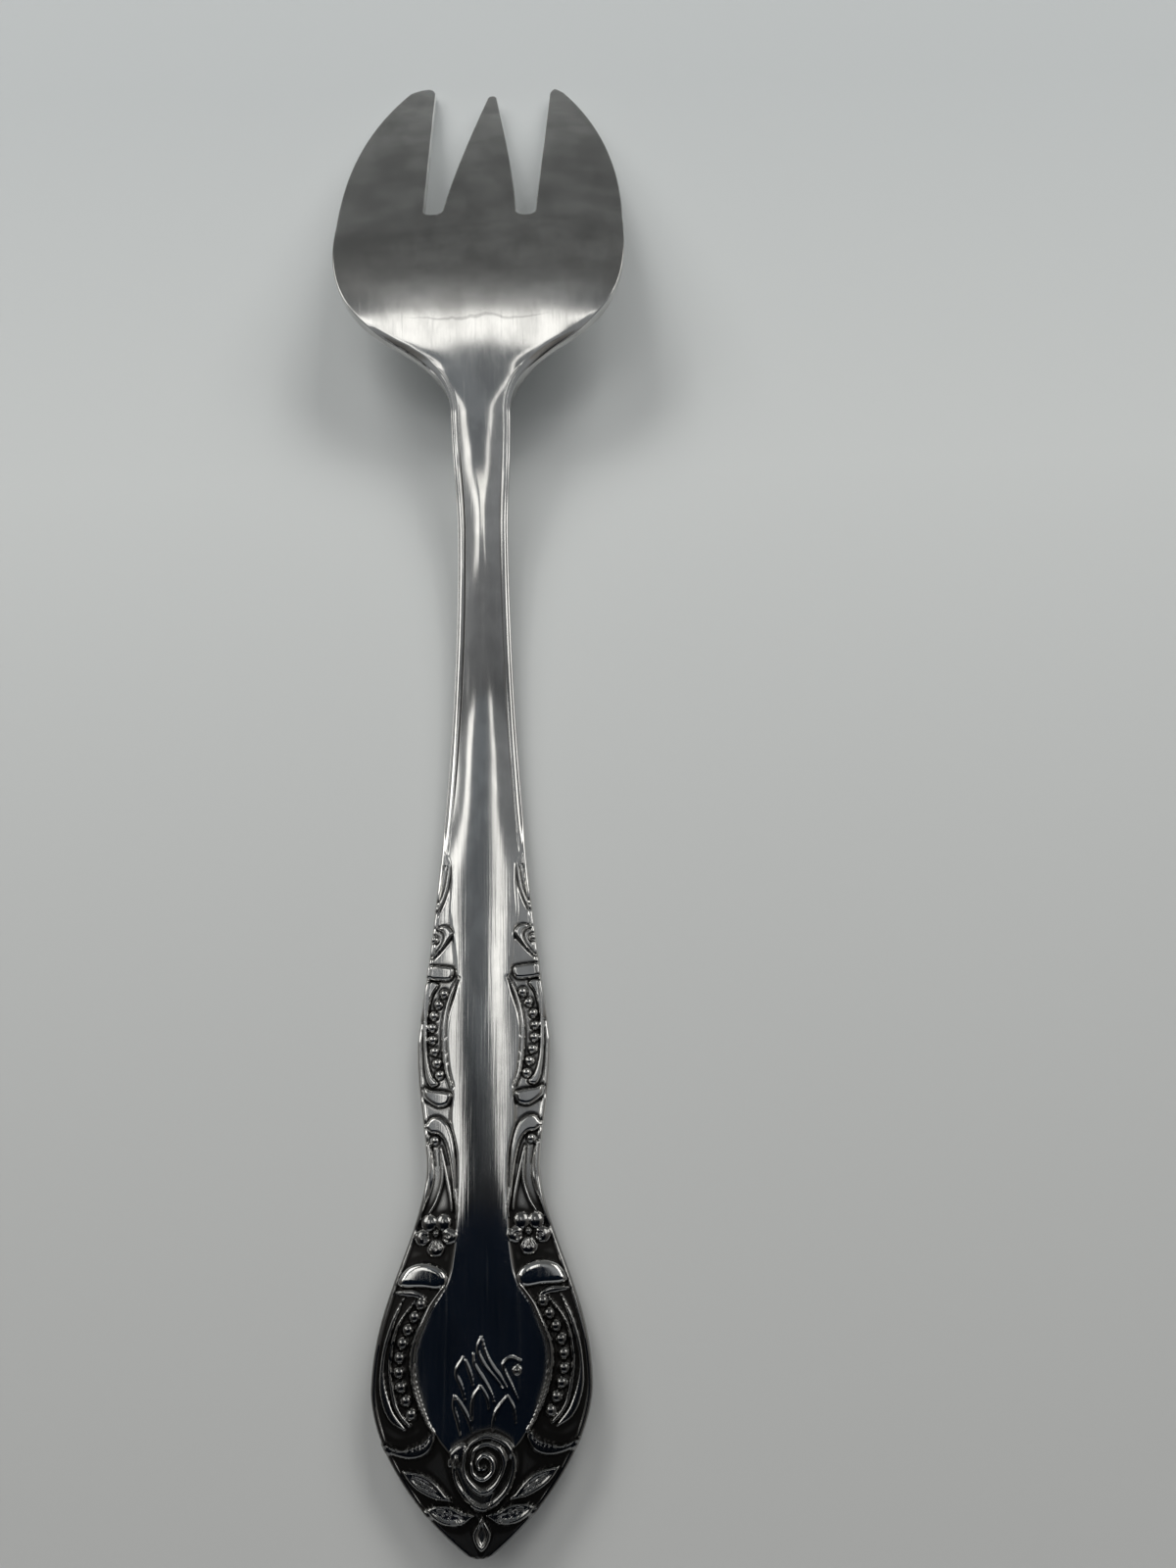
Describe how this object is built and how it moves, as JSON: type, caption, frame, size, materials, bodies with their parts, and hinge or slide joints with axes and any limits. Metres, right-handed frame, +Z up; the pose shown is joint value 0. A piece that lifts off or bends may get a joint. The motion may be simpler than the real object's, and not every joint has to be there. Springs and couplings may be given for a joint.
{
  "type": "serving fork",
  "caption": "One-piece steel serving fork with a broad dished head, short tines, a slim shank and a handle edged with raised beads, scrolls, leaves and a rose.",
  "frame": {"origin": "middle of the outline's box, on the table that the fork lies on face down", "axes": "+Y along the fork to the tips, +Z up out of the fork's back, +X to the right seen from above"},
  "size_m": [0.0436, 0.216, 0.014],
  "materials": {
    "polished_steel": "bright polished stainless steel with fine use scratches",
    "satin_steel": "satin stainless steel, finely brushed along the fork",
    "relief_steel": "bright raised ornament with darkened hollows"
  },
  "bodies": {
    "root": {"paddle": "polished_steel", "upper_handle": "polished_steel", "shank": "polished_steel", "neck": "satin_steel", "bowl": "satin_steel", "left_tine": "satin_steel", "middle_tine": "satin_steel", "right_tine": "satin_steel", "upper_beads": "relief_steel", "upper_border": "relief_steel", "upper_collars": "relief_steel", "edge_scrolls": "relief_steel", "edge_leaves": "relief_steel", "waist_hoods": "relief_steel", "waist_stems": "relief_steel", "florets": "relief_steel", "shell_collars": "relief_steel", "lower_beads": "relief_steel", "lower_border": "relief_steel", "lower_collars": "relief_steel", "plume": "relief_steel", "rose": "relief_steel", "rose_leaves": "relief_steel", "end_leaf": "relief_steel"}
  },
  "joints": []
}
